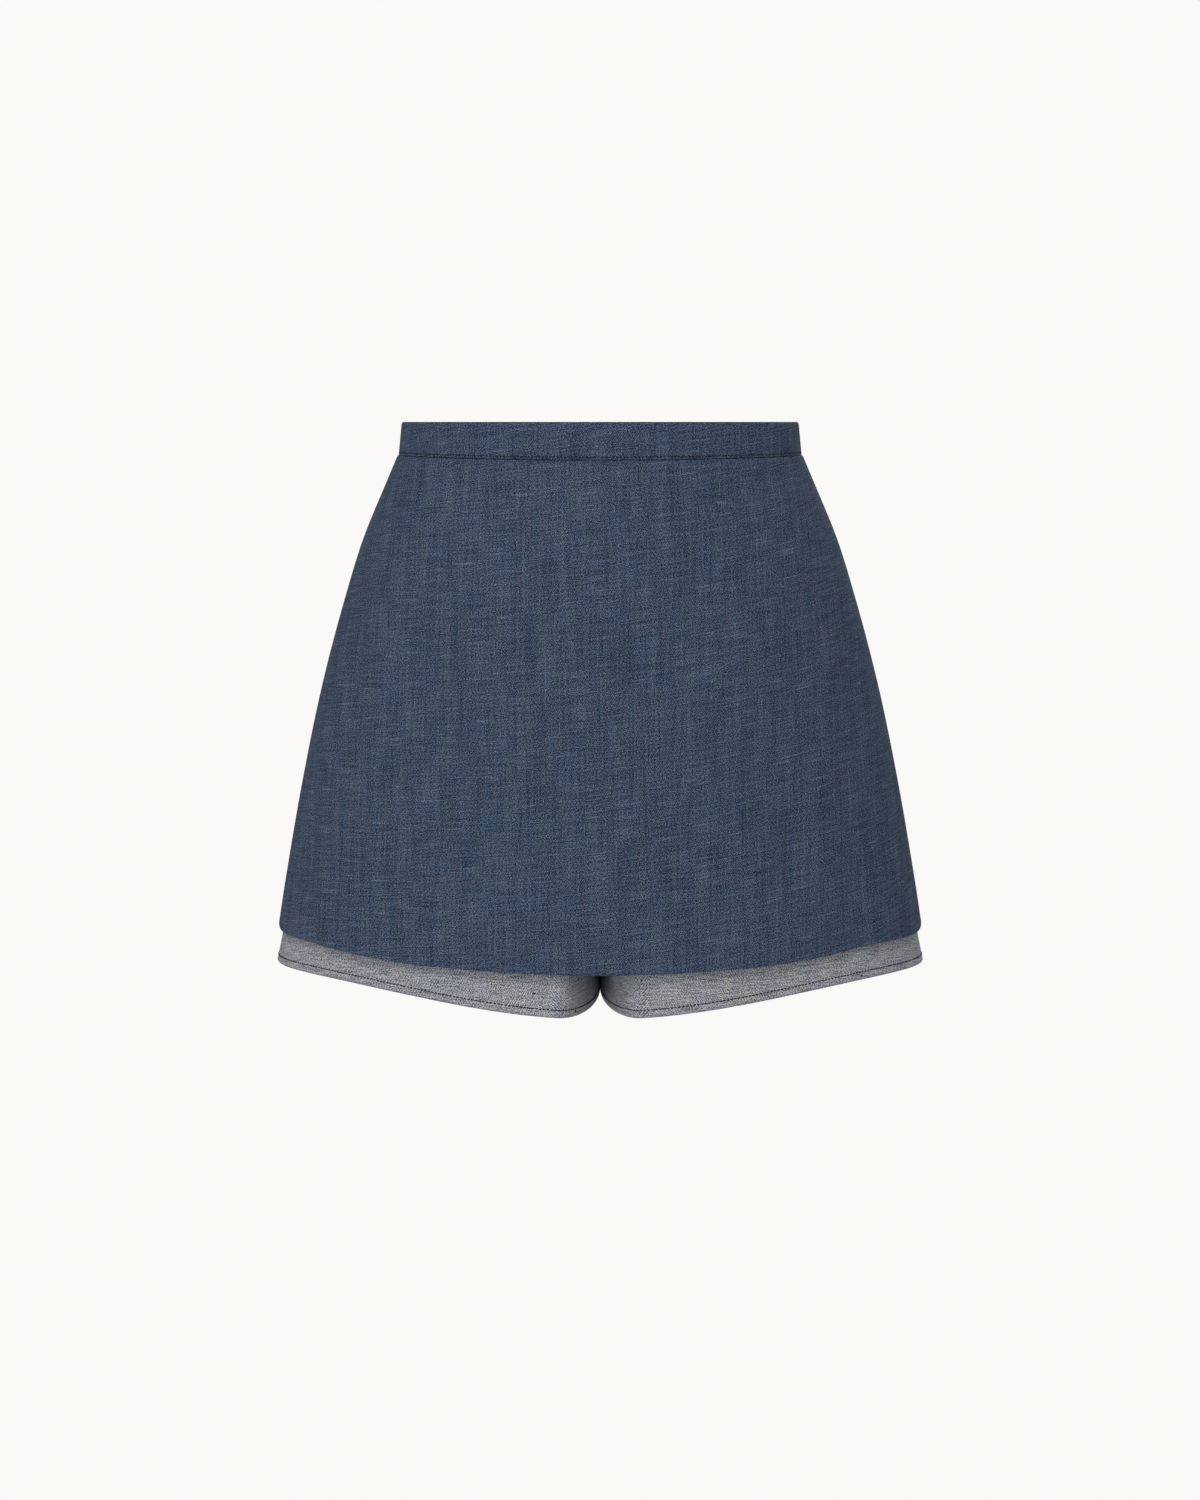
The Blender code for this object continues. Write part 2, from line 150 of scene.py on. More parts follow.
def band_level(angle, front):
    """Level of the waistband's lower edge at an angle from the centre line."""
    return -BAND_HEIGHT - (BAND_DIP * np.cos(angle) ** 2 if front else 0.0 * angle)


def spread(length, count, near):
    """Distances along an edge: even, with the near ones at both ends, and each one's own distance
    from the nearer end."""
    near = np.array(near)
    along = np.concatenate([near, np.linspace(near[-1], length - near[-1], count)[1:-1]])
    along = np.concatenate([along, length - near[::-1]])
    return along, np.minimum(along, length - along)


def limited(value):
    """A value held between 0 and 1."""
    return np.clip(value, 0.0, 1.0)


def fading(away, width):
    """1 on a line, and less away from it over a width."""
    return np.exp(-((away / width) ** 2))


def marks_at(across, level, marks):
    """Height of the listed marks at the cloth's points."""
    height = np.zeros_like(across)
    for x0, z0, x1, z1, width, rise in marks:
        dx, dz = x1 - x0, z1 - z0
        t = limited(((across - x0) * dx + (level - z0) * dz) / (dx * dx + dz * dz))
        away = np.hypot(across - x0 - t * dx, level - z0 - t * dz)
        height += rise * fading(away, width)
    return height


def normals_of(points):
    """Unit normals of a grid of points, across its columns and down its lines."""
    normal = np.cross(np.gradient(points, axis=0), np.gradient(points, axis=1))
    return normal / np.linalg.norm(normal, axis=2, keepdims=True)


def lengths_along(points, axis):
    """Running length of a grid of points along an axis."""
    steps = np.linalg.norm(np.diff(points, axis=axis), axis=2)
    return np.insert(np.cumsum(steps, axis=axis), 0, 0.0, axis=axis)


def new_object(name, data):
    """An object in the scene with its mesh, lamp or camera."""
    made = bpy.data.objects.new(name, data)
    bpy.context.scene.collection.objects.link(made)
    return made


def mesh_object(name, points, faces, uv, finishes, indices):
    """A smooth mesh object with the cloth's own flat places, in metres, as its UV map."""
    mesh = bpy.data.meshes.new(name)
    mesh.from_pydata(points.tolist(), [], faces)
    corners = np.empty(len(mesh.loops), dtype=np.int32)
    mesh.loops.foreach_get("vertex_index", corners)
    layer = mesh.uv_layers.new(name="cloth")
    layer.data.foreach_set("uv", uv[corners].astype(np.float32).ravel())
    for finish in finishes:
        mesh.materials.append(finish)
    mesh.polygons.foreach_set("material_index", np.array(indices, dtype=np.int32))
    mesh.shade_smooth()
    return new_object(name, mesh)


def cloth_wall(
    name, face, from_side, from_end, push, uv, thickness, finishes, turned=0.0, hold=0.0
):
    """A wall of cloth behind the outer face's grid of points. Both its sides close on the
    rounded edges, and a turned hem shows the right side for some way up the inside. Where hold
    is above 0, the last column's edge keeps its place across, and the cloth near it follows."""
    drawn = normals_of(face)[-1:, :, 0] * (thickness / 2 - push[-1:]) * hold
    if np.mean(normals_of(face)[..., :2] * face[..., :2]) < 0.0:
        face, push, uv, from_side = face[::-1], push[::-1], uv[::-1], from_side[::-1]
        drawn = -drawn[::-1]
    normal = normals_of(face)
    round_side, round_end = (
        np.sqrt(1.0 - (1.0 - limited(away / EDGE_ROUNDING)) ** 2)
        for away in (from_side, from_end)
    )
    half = thickness / 2 * (round_side[:, None] * round_end[None, :])[..., None]
    middle = face + normal * (push[..., None] - thickness / 2)
    middle[..., 0] += drawn
    columns, lines = half.shape[:2]
    outer = np.arange(columns * lines).reshape(columns, lines)
    inner = outer.copy()
    within = np.arange((columns - 2) * (lines - 2)).reshape(columns - 2, lines - 2)
    inner[1:-1, 1:-1] = columns * lines + within
    points = np.concatenate(
        [
            (middle + half * normal).reshape(-1, 3),
            (middle - half * normal)[1:-1, 1:-1].reshape(-1, 3),
        ]
    )
    flat = np.concatenate([uv.reshape(-1, 2), uv[1:-1, 1:-1].reshape(-1, 2)])
    up = uv[:, :, 1] - uv[:, -1:, 1]
    faces, indices = [], []
    for i in range(columns - 1):
        for j in range(lines - 1):
            faces.append((outer[i, j], outer[i + 1, j], outer[i + 1, j + 1], outer[i, j + 1]))
            faces.append((inner[i, j], inner[i, j + 1], inner[i + 1, j + 1], inner[i + 1, j]))
            indices += [0, 0 if up[i, j] < turned else 1]
    return mesh_object(name, points, faces, flat, finishes, indices)


def node(tree, kind, inputs=(), **settings):
    """A node with its settings, and with values or links for its inputs by name or number."""
    made = tree.nodes.new(kind)
    for name, value in settings.items():
        setattr(made, name, value)
    for name, value in dict(inputs).items():
        if isinstance(value, bpy.types.NodeSocket):
            tree.links.new(value, made.inputs[name])
        else:
            made.inputs[name].default_value = value
    return made


def combine(tree, operation, first, second, third=0.0):
    """The result of a maths node."""
    kind = node(tree, "ShaderNodeMath", {0: first, 1: second, 2: third}, operation=operation)
    return kind.outputs[0]


def new_finish(name):
    """A material, its node tree and its shader."""
    made = bpy.data.materials.new(name)
    made.use_nodes = True
    return made, made.node_tree, made.node_tree.nodes["Principled BSDF"]


STREAK_CONTRAST = 3.0


def streaks(tree, place, pattern, tilt=0.0):
    """Noise of so many features a millimetre across and up, in a detail, tilted, round 0."""
    across, up, detail = pattern
    turned = node(
        tree,
        "ShaderNodeMapping",
        {"Vector": place, "Rotation": (0.0, 0.0, tilt), "Scale": (1.0 / across, 1.0 / up, 1.0)},
        vector_type="TEXTURE",
    )
    noise = node(
        tree,
        "ShaderNodeTexNoise",
        {"Vector": turned.outputs[0], "Scale": 1.0, "Detail": detail, "Roughness": 0.6},
        noise_dimensions="2D",
    )
    centred = combine(tree, "SUBTRACT", noise.outputs["Fac"], 0.5)
    return combine(tree, "MULTIPLY", centred, STREAK_CONTRAST)


def specks(tree, place, spacing, size, share, stretch):
    """Flecks of thread, at one place in so many millimetres, on a share of those places."""
    turned = node(tree, "ShaderNodeMapping", {"Vector": place, "Scale": (1 / stretch, 1.0, 1.0)})
    cells = node(
        tree,
        "ShaderNodeTexVoronoi",
        {"Vector": turned.outputs[0], "Scale": 1.0 / spacing},
        voronoi_dimensions="2D",
    )
    near = combine(tree, "LESS_THAN", cells.outputs["Distance"], size / spacing)
    picked = node(tree, "ShaderNodeSeparateColor", {0: cells.outputs["Color"]})
    return combine(tree, "MULTIPLY", near, combine(tree, "LESS_THAN", picked.outputs[0], share))


# The yarns' patterns: features a millimetre across and up the cloth, and the noise's detail.
GRAIN = (1.10, 1.60, 2.0)
WARP_YARNS = (0.60, 0.022, 2.0)
WARP_BANDS = (0.11, 0.012, 2.0)
DYE_CLOUDS = (0.15, 0.040, 3.0)
SLUBBED_YARNS = (0.050, 1.10, 0.0)
WEFT_COUNT = 0.95
WEFT_DETAIL = 1.0
# The weft hangs a little askew, and the twill's lines lean from the warp.
WEFT_TILT = math.radians(7.0)
TWILL_LEAN = math.radians(-28.0)
TWILL_PITCH = 0.95
# A wave texture of scale 1 repeats at this length.
WAVE_LENGTH = math.pi / 10.0
MILLIMETRES = 1000.0
CLOTH_ROUGHNESS = 0.92
GRAIN_ROUGHNESS = 0.05
CLOTH_GLOSS = 0.12
# Shares of the grain, the twill and the warp yarns in the cloth's relief.
RELIEF_SHARES = (0.5, 0.5, 0.35)
RELIEF_DEPTH = 0.0002


def cloth_finish(name, shades, weights, slubs, flecks, tints, weft_run, twill_pitch=TWILL_PITCH):
    """Woven cotton: grain, uneven warp and weft yarns, a twill and broad warp bands add up by
    their weights to a lightness on a ramp of shades, with pale slubs, flecks and a warp tint.
    A fleck has a spacing and size in mm, a share of its places, a stretch and a shade."""
    made, tree, shader = new_finish(name)
    flat = node(tree, "ShaderNodeUVMap", uv_map="cloth")
    scaled = node(
        tree,
        "ShaderNodeVectorMath",
        {0: flat.outputs[0], 1: (MILLIMETRES,) * 3},
        operation="MULTIPLY",
    )
    place = scaled.outputs[0]
    grain = streaks(tree, place, GRAIN)
    warp = streaks(tree, place, WARP_YARNS)
    weft = streaks(tree, place, (1.0 / weft_run, WEFT_COUNT, WEFT_DETAIL), WEFT_TILT)
    bands = streaks(tree, place, WARP_BANDS)
    dye = streaks(tree, place, DYE_CLOUDS)
    lean = node(
        tree, "ShaderNodeMapping", {"Vector": place, "Rotation": (0.0, 0.0, TWILL_LEAN)}
    )
    waves = node(
        tree,
        "ShaderNodeTexWave",
        {
            "Vector": lean.outputs[0],
            "Scale": WAVE_LENGTH / twill_pitch,
            "Distortion": 1.6,
            "Detail": 1.0,
            "Detail Scale": 1.2,
        },
        wave_type="BANDS",
        bands_direction="X",
    )
    twill = combine(tree, "SUBTRACT", waves.outputs["Fac"], 0.5)
    lightness = 0.5
    for part, weight in zip((grain, warp, weft, twill, bands), weights):
        lightness = combine(tree, "MULTIPLY_ADD", part, weight, lightness)
    # A slub shows where a slow noise along the weft passes a threshold.
    threshold, slub_weight = slubs
    thick = streaks(tree, place, SLUBBED_YARNS, WEFT_TILT)
    over = combine(tree, "MAXIMUM", combine(tree, "SUBTRACT", thick, threshold), 0.0)
    lightness = combine(tree, "MULTIPLY_ADD", over, slub_weight, lightness)
    ramp = node(tree, "ShaderNodeValToRGB", {0: lightness})
    while len(ramp.color_ramp.elements) < len(shades):
        ramp.color_ramp.elements.new(0.5)
    for stop, (at, colour) in zip(ramp.color_ramp.elements, shades):
        stop.position = at
        stop.color = (*colour, 1.0)
    tinted = node(
        tree,
        "ShaderNodeMix",
        {0: combine(tree, "ADD", dye, 0.5), 6: (*tints[0], 1.0), 7: (*tints[1], 1.0)},
        data_type="RGBA",
    )
    colour = node(
        tree,
        "ShaderNodeMix",
        {0: 1.0, 6: ramp.outputs[0], 7: tinted.outputs[2]},
        data_type="RGBA",
        blend_type="MULTIPLY",
    ).outputs[2]
    for spacing, size, share, stretch, shade in flecks:
        colour = node(
            tree,
            "ShaderNodeMix",
            {0: specks(tree, place, spacing, size, share, stretch), 6: colour, 7: (*shade, 1.0)},
            data_type="RGBA",
        ).outputs[2]
    tree.links.new(colour, shader.inputs["Base Color"])
    rough = combine(tree, "MULTIPLY_ADD", grain, GRAIN_ROUGHNESS, CLOTH_ROUGHNESS)
    tree.links.new(rough, shader.inputs["Roughness"])
    shader.inputs["Specular IOR Level"].default_value = CLOTH_GLOSS
    height = 0.0
    for part, share in zip((grain, twill, warp), RELIEF_SHARES):
        height = combine(tree, "MULTIPLY_ADD", part, share, height)
    bump = node(
        tree, "ShaderNodeBump", {"Height": height, "Strength": 0.5, "Distance": RELIEF_DEPTH}
    )
    tree.links.new(bump.outputs[0], shader.inputs["Normal"])
    return made


# Right side: indigo warp with the white weft just showing. Reverse: pale weft with navy flecks.
denim = cloth_finish(
    "indigo denim",
    shades=[
        (0.0, (0.0035, 0.0085, 0.020)),
        (0.5, (0.0308, 0.0538, 0.1005)),
        (1.0, (0.142, 0.183, 0.252)),
    ],
    weights=(0.78, 0.13, 0.15, 0.42, 0.06),
    slubs=(0.55, 0.42),
    flecks=[
        (9.0, 0.42, 0.07, 1.8, (0.16, 0.18, 0.21)),
        (14.0, 0.42, 0.06, 1.2, (0.004, 0.006, 0.012)),
    ],
    tints=[(0.91, 0.985, 1.03), (1.10, 1.005, 0.975)],
    weft_run=25.0,
)
reverse_denim = cloth_finish(
    "denim reverse",
    shades=[
        (0.0, (0.040, 0.050, 0.078)),
        (0.5, (0.252, 0.262, 0.298)),
        (1.0, (0.625, 0.622, 0.632)),
    ],
    weights=(0.88, 0.07, 0.27, 0.66, 0.03),
    slubs=(0.60, 0.0),
    flecks=[(17.0, 0.62, 0.24, 1.6, (0.018, 0.022, 0.036))],
    tints=[(0.95, 0.985, 1.045), (1.05, 1.01, 0.965)],
    weft_run=12.0,
)

around, from_side = spread(math.pi * GIRTH_RADIUS, APRON_COLUMNS, CORNER_STEPS)
angles = around / GIRTH_RADIUS - math.pi / 2
# The hem's corners are round as seen from the front.
corner = APRON_CORNER / smooth_value(APRON_ROWS, 1, APRON_HEM_SIDE)
into = limited((np.abs(np.sin(angles)) - 1.0 + corner) / corner)
rounded = 1.0 - np.sqrt(1.0 - into**2)
tops = band_level(angles, True) + SEAM_OVERLAP
hems = APRON_HEM_SIDE - APRON_HEM_DIP * np.cos(angles) ** 2 + APRON_CORNER * rounded
for at, width, rise in HEM_LIFTS:
    hems += rise * fading(np.degrees(angles) - at, width)
levels = np.array([t - spread(t - h, APRON_LINES, SEAM_STEPS)[0] for t, h in zip(tops, hems)])
from_end = spread(-APRON_HEM_SIDE, APRON_LINES, SEAM_STEPS)[1]
turn = angles[:, None]
face = np.stack(
    [
        smooth_value(APRON_ROWS, 1, levels) * np.sin(turn),
        -smooth_value(APRON_ROWS, 2, levels) * np.cos(turn) + SEAM_OVERLAP,
        levels,
    ],
    axis=2,
)
across = lengths_along(face, 0)
across -= across[len(angles) // 2]
uv = np.stack([across, -lengths_along(face, 1)], axis=2)
below = tops[:, None] - levels
push = marks_at(across, levels, APRON_MARKS) * limited(below / APRON_MARKS_FADE)
push -= SEAM_TUCK * np.cos(turn) ** 2 * fading(below, SEAM_TUCK_WIDTH)
room = smooth_value(APRON_ROWS, 1, levels) - smooth_value(SHORTS_ROWS, 1, levels)
over_cuff = limited((ROLL_CHANGE_END - levels) / ROLL_CHANGE_DROP + 1.0)
room -= DENIM_THICKNESS + SEAM_OVERLAP + (LAYER_GAP + CUFF_THICKNESS) * over_cuff
away = (math.pi / 2 - np.abs(turn)) * smooth_value(APRON_ROWS, 2, levels)
push -= room * limited(1.0 - away / SIDE_ROLL_WIDTH) ** SIDE_ROLL_POWER
apron = cloth_wall(
    "apron_cloth",
    face,
    from_side,
    from_end,
    push,
    uv,
    DENIM_THICKNESS,
    (denim, reverse_denim),
    HEM_TURN,
)
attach(apron, "garment")
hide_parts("apron")

# ---------------------------------------------------------------------------------------------
# Waistband. Straight grain strips folded double along the top edge: one in front from side seam
# to side seam, and two behind from the side seams to the zip.
# ---------------------------------------------------------------------------------------------
BAND_THICKNESS = 0.0024
BAND_COLUMNS = 140
BAND_LINES = 14
# The waistband's form: level, half width, front depth, back depth.
BAND_ROWS = [
    (-0.0230, 0.1243, 0.0940, 0.0947),
    (0.0000, 0.1221, 0.0920, 0.0920),
]
BAND_STEPS = (
    0.0, 0.00004, 0.0002, 0.0005, 0.0009, 0.0013, 0.0016, 0.0019, 0.0022, 0.0026, 0.0032
)
# The top edge is a round fold of this width; the lower edge is pressed against the seam.
BAND_FOLD = 0.0022
BAND_SEAM_EDGE = 0.0006
# The strips' ends are rounded over half the width of other edges.
BAND_END_SHARPNESS = 2.0
BAND_TUCK = 0.0006
# The row of topstitches above the seam presses a groove into the band.
TOPSTITCH_RISE = 0.0019
TOPSTITCH_GROOVE = 0.00022
TOPSTITCH_GROOVE_WIDTH = 0.00052
# Each piece is cut from its own place along the cloth, so that no two show the same yarns.
BAND_CUT_AT = 0.7
BAND_MARKS = [
    (-0.150, -0.011, -0.120, -0.010, 0.0050, -0.0003),
    (-0.060, -0.013, -0.020, -0.012, 0.0050, 0.0003),
    (0.030, -0.010, 0.070, -0.012, 0.0050, -0.0003),
    (0.110, -0.013, 0.140, -0.012, 0.0050, 0.0003),
]


def band_points(angles, front, levels):
    """Points of the waistband's outer face at angles from the centre line towards +X."""
    side = -1.0 if front else 1.0
    depth = smooth_value(BAND_ROWS, 2 if front else 3, levels) * np.cos(angles) - SEAM_OVERLAP
    return np.stack([smooth_value(BAND_ROWS, 1, levels) * np.sin(angles), side * depth, levels], 2)


def waistband(name, start, end, front, columns):
    """A stretch of waistband between two angles."""
    length = abs(end - start) * BAND_ROWS[1][2]
    around, from_side = spread(length, columns, BAND_STEPS)
    angles = start + (end - start) * around / length
    heights = -band_level(angles, front)
    levels = -np.array([spread(height, BAND_LINES, BAND_STEPS)[0] for height in heights])
    down = spread(BAND_HEIGHT, BAND_LINES, BAND_STEPS)[0]
    from_end = np.minimum(down / BAND_FOLD, (BAND_HEIGHT - down) / BAND_SEAM_EDGE) * EDGE_ROUNDING
    face = band_points(angles[:, None] + 0.0 * levels, front, levels)
    across = lengths_along(face, 0)
    across -= across[len(angles) // 2]
    uv = np.stack([across + BAND_CUT_AT + start, -lengths_along(face, 1)], axis=2)
    above = levels + heights[:, None]
    push = marks_at(across, levels, BAND_MARKS)
    push -= BAND_TUCK * fading(above, SEAM_TUCK_WIDTH) * np.cos(angles[:, None]) ** 2
    push -= TOPSTITCH_GROOVE * fading(above - TOPSTITCH_RISE, TOPSTITCH_GROOVE_WIDTH)
    band = cloth_wall(
        f"{name}_cloth",
        face,
        from_side * BAND_END_SHARPNESS,
        from_end,
        push,
        uv,
        BAND_THICKNESS,
        (denim, denim),
    )
    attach(band, "garment")
    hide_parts(name)
    return band


# The two back strips overlap at the centre back, as sewn edges do.
lap = -SEAM_OVERLAP / BAND_ROWS[1][1]
bands = [
    waistband("waistband_front", -math.pi / 2, math.pi / 2, True, BAND_COLUMNS),
    waistband("waistband_back_left", lap, math.pi / 2, False, BAND_COLUMNS // 2),
    waistband("waistband_back_right", -math.pi / 2, -lap, False, BAND_COLUMNS // 2),
]

# ---------------------------------------------------------------------------------------------
# Waist topstitch. One row of navy thread close above the waist seam, all round to the zip.
# Each stitch is a short arch of thread that dives into the cloth at both ends.
# ---------------------------------------------------------------------------------------------
TOPSTITCH_PITCH = 0.0022
TOPSTITCH_LENGTH = 0.0014
THREAD_RADIUS = 0.00030
THREAD_SINK = 0.00014
# The row lies a little under the groove's floor. It stops short of the side seams and the zip
# by these angles.
TOPSTITCH_DEPTH = TOPSTITCH_GROOVE + 0.00005
ROW_SIDE_GAP = 0.006
ROW_ZIP_GAP = 0.012
ROW_POINTS = 241
# Half the drop over which the band's slope is measured under the row.
SLOPE_REACH = 0.0005


def thread_finish(name, colour):
    """Twisted sewing thread, with a little gloss and its twist as fine relief."""
    made, tree, shader = new_finish(name)
    place = node(tree, "ShaderNodeTexCoord").outputs["Object"]
    twist = node(tree, "ShaderNodeTexNoise", {"Vector": place, "Scale": 2600.0, "Detail": 1.0})
    shade = node(
        tree,
        "ShaderNodeMix",
        {
            0: twist.outputs["Fac"],
            6: (*[0.6 * c for c in colour], 1.0),
            7: (*[1.5 * c for c in colour], 1.0),
        },
        data_type="RGBA",
    )
    tree.links.new(shade.outputs[2], shader.inputs["Base Color"])
    bump = node(
        tree,
        "ShaderNodeBump",
        {"Height": twist.outputs["Fac"], "Strength": 0.4, "Distance": 0.0001},
    )
    tree.links.new(bump.outputs[0], shader.inputs["Normal"])
    shader.inputs["Roughness"].default_value = 0.65
    shader.inputs["Specular IOR Level"].default_value = 0.2
    return made


def stitch_nodes():
    """Geometry Nodes that lay stitches along the edges of a mesh, standing out of the cloth."""
    tree = bpy.data.node_groups.new("stitches", "GeometryNodeTree")
    tree.interface.new_socket("Geometry", in_out="INPUT", socket_type="NodeSocketGeometry")
    for name in ("Pitch", "Length", "Radius", "Sink"):
        tree.interface.new_socket(name, in_out="INPUT", socket_type="NodeSocketFloat")
    tree.interface.new_socket("Seed", in_out="INPUT", socket_type="NodeSocketInt")
    tree.interface.new_socket("Thread", in_out="INPUT", socket_type="NodeSocketMaterial")
    tree.interface.new_socket("Geometry", in_out="OUTPUT", socket_type="NodeSocketGeometry")
    given = node(tree, "NodeGroupInput").outputs
    half = combine(tree, "MULTIPLY", given["Length"], 0.5)
    low = combine(tree, "MULTIPLY", given["Sink"], -1.0)
    high = combine(tree, "MULTIPLY_ADD", given["Radius"], 1.5, given["Sink"])
    ends = [
        node(tree, "ShaderNodeCombineXYZ", {0: x, 2: z}).outputs[0]
        for x, z in ((combine(tree, "MULTIPLY", half, -1.0), low), (0.0, high), (half, low))
    ]
    arch = node(
        tree,
        "GeometryNodeCurveQuadraticBezier",
        {"Resolution": 6, "Start": ends[0], "Middle": ends[1], "End": ends[2]},
    )
    ring = node(
        tree, "GeometryNodeCurvePrimitiveCircle", {"Resolution": 6, "Radius": given["Radius"]}
    )
    thread = node(
        tree,
        "GeometryNodeCurveToMesh",
        {"Curve": arch.outputs[0], "Profile Curve": ring.outputs[0], "Fill Caps": True},
    )
    line = node(tree, "GeometryNodeMeshToCurve", {"Mesh": given["Geometry"]})
    marks = node(
        tree,
        "GeometryNodeResampleCurve",
        {"Curve": line.outputs[0], "Length": given["Pitch"]},
        mode="LENGTH",
    )
    out = node(tree, "GeometryNodeInputNamedAttribute", {0: "out"}, data_type="FLOAT_VECTOR")
    stood = node(
        tree, "FunctionNodeAlignRotationToVector", {"Vector": out.outputs[0]}, axis="Z"
    )
    tangent = node(tree, "GeometryNodeInputTangent")
    laid = node(
        tree,
        "FunctionNodeAlignRotationToVector",
        {"Rotation": stood.outputs[0], "Vector": tangent.outputs[0]},
        axis="X",
        pivot_axis="Z",
    )
    uneven = node(
        tree,
        "FunctionNodeRandomValue",
        {"Min": (0.86, 0.9, 0.8), "Max": (1.08, 1.1, 1.15), "Seed": given["Seed"]},
        data_type="FLOAT_VECTOR",
    )
    row = node(
        tree,
        "GeometryNodeInstanceOnPoints",
        {
            "Points": marks.outputs[0],
            "Instance": thread.outputs[0],
            "Rotation": laid.outputs[0],
            "Scale": uneven.outputs[0],
        },
    )
    whole = node(tree, "GeometryNodeRealizeInstances", {0: row.outputs[0]})
    coloured = node(
        tree, "GeometryNodeSetMaterial", {0: whole.outputs[0], "Material": given["Thread"]}
    )
    leaving = node(tree, "NodeGroupOutput")
    tree.links.new(coloured.outputs[0], leaving.inputs[0])
    return tree


def stitched(name, rows, values):
    """Rows of stitches, each a line of points, their directions out, and whether it closes."""
    mesh = bpy.data.meshes.new(name)
    points = np.concatenate([points for points, _, _ in rows])
    outs = np.concatenate([out for _, out, _ in rows])
    edges, first = [], 0
    for line, _, closed in rows:
        edges += [(first + i, first + i + 1) for i in range(len(line) - 1)]
        edges += [(first + len(line) - 1, first)] if closed else []
        first += len(line)
    mesh.from_pydata(points.tolist(), edges, [])
    layer = mesh.attributes.new("out", "FLOAT_VECTOR", "POINT")
    layer.data.foreach_set("vector", outs.astype(np.float32).ravel())
    piece = new_object(name, mesh)
    step = piece.modifiers.new("stitches", "NODES")
    step.node_group = stitches
    for item in stitches.interface.items_tree:
        if item.in_out == "INPUT" and item.name in values:
            step[item.identifier] = values[item.name]
    bpy.context.view_layer.update()
    graph = bpy.context.evaluated_depsgraph_get()
    laid = bpy.data.meshes.new_from_object(piece.evaluated_get(graph))
    piece.modifiers.clear()
    piece.data = laid
    piece.data.name = name
    piece.data.shade_smooth()
    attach(piece, "garment")


stitches = stitch_nodes()
navy_thread = thread_finish("navy thread", (0.005, 0.008, 0.015))
rows = []
row_end = math.pi / 2 - ROW_SIDE_GAP
for start, end, front in (
    (-row_end, row_end, True),
    (ROW_ZIP_GAP, row_end, False),
    (-row_end, -ROW_ZIP_GAP, False),
):
    angles = np.linspace(start, end, ROW_POINTS)
    line_levels = band_level(angles, front) + TOPSTITCH_RISE
    around_line = line_levels[:, None] + SLOPE_REACH * np.arange(-1, 2)
    grid = band_points(angles[:, None] + 0.0 * around_line, front, around_line)
    out = normals_of(grid)[:, 1]
    out *= np.sign(np.sum(out[:, :2] * grid[:, 1, :2], axis=1))[:, None]
    rows.append((grid[:, 1] - TOPSTITCH_DEPTH * out, out, False))
stitched(
    "waist_topstitch",
    rows,
    {
        "Pitch": TOPSTITCH_PITCH,
        "Length": TOPSTITCH_LENGTH,
        "Radius": THREAD_RADIUS,
        "Sink": THREAD_SINK,
        "Seed": 3,
        "Thread": navy_thread,
    },
)

# ---------------------------------------------------------------------------------------------
# Shorts fronts and backs. Each of the four panels runs from side seam to centre seam, under the
# crotch and down the leg to its edge in the cuff. The backs have one sewn waist dart each.
# ---------------------------------------------------------------------------------------------
# Levels at which the centre seams start to turn in under the crotch, and the crotch's level.
FRONT_CURVE_START = -0.215
BACK_CURVE_START = -0.190
CROTCH_LEVEL = -0.284
# The thighs round off to the inseam over these widths. Below the crotch the legs stand off the
# centre plane by a space that opens over a drop.
FRONT_THIGH_ROUNDING = 0.024
BACK_THIGH_ROUNDING = 0.032
LEG_SPACE = 0.0017
LEG_SPACE_DROP = 0.0220
# The cuffs' lowest line: its level at the side seam, its drop to the inner leg and its curve.
HEM_OUTER = -0.3341
HEM_DROP = 0.0198
HEM_POWER = 1.9
# How far the cuff is turned up, and the room between the leg's edge and the cuff's fold.
CUFF_HEIGHT = 0.0420
FOLD_ROOM = 0.0010
# Points of a section, sections to a drop, and how far they reach above the waist seam.
SECTION_STEPS = 240
LEVEL_STEP = 0.00025
LEVEL_MARGIN = 0.001
# How much columns gather where the thigh turns, and lines at the centre seam's turn.
TURN_WEIGHT = 0.4
CENTRE_PULL = 1.5
PANEL_WIDTH = math.pi / 2 * GIRTH_RADIUS
PANEL_COLUMNS = 64
STRAIGHT_LINES = 44
CURVE_LINES = 20
LEG_LINES = 16
SHORTS_MARKS_FADE = 0.010
# The darts and the centre back seam press grooves into the cloth. A dart starts just below the
# waist seam, and the centre seam's groove fades out where it turns in to the crotch.
BACK_GROOVE_WIDTH = 0.0009
DART_SHARE = 0.705
DART_LENGTH = 0.090
DART_DEPTH = 0.0020
DART_START = 0.0050
DART_COLUMNS = (-12, -6, -3, -1.5, -0.7, 0, 0.7, 1.5, 3, 6, 12)
DART_COLUMN_STEP = 0.0014
DART_CLEARING = 0.020
CENTRE_SEAM_DEPTH = 0.0013
CENTRE_SEAM_FADE = 0.0400
# The centre seam's edges meet on the centre plane, down to a little below the crotch.
CENTRE_HOLD_WIDTH = 0.0035
CENTRE_HOLD_DROP = 0.0060
BACK_CUT_AT = 1.5
FRONT_CUT_BEYOND = 0.6
